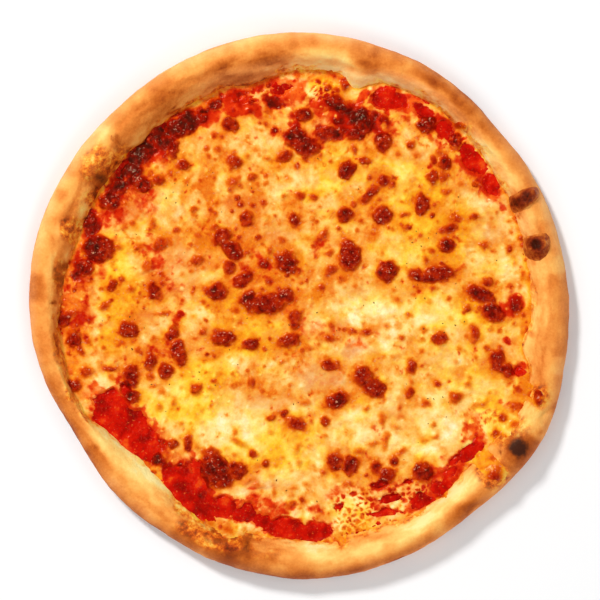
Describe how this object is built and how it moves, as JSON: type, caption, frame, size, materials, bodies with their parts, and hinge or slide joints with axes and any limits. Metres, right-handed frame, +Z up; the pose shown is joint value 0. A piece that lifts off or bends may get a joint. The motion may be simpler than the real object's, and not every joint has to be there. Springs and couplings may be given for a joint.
{
  "type": "margherita pizza",
  "caption": "Whole round margherita pizza with a puffed browned rim, tomato sauce and blistered melted mozzarella, to rest on a plate, board or peel.",
  "frame": {"origin": "middle of the bounding box at the flat underside, which rests on the table", "axes": "+Z up through the topping, -Y towards the viewer's side of the pizza, +X to its right"},
  "size_m": [0.3006, 0.304, 0.0186],
  "materials": {
    "baked_dough": "baked dough crust, matt, golden with browned patches",
    "tomato_sauce": "wet cooked tomato sauce",
    "melted_mozzarella": "oily melted cheese with browned blisters",
    "browned_cheese": "dark browned cheese, semi-gloss"
  },
  "bodies": {
    "root": {"dough": "baked_dough", "tomato_sauce": "tomato_sauce", "mozzarella": "melted_mozzarella", "rim_cheese_blob_upper": "browned_cheese", "rim_cheese_blob_lower": "browned_cheese"}
  },
  "joints": []
}
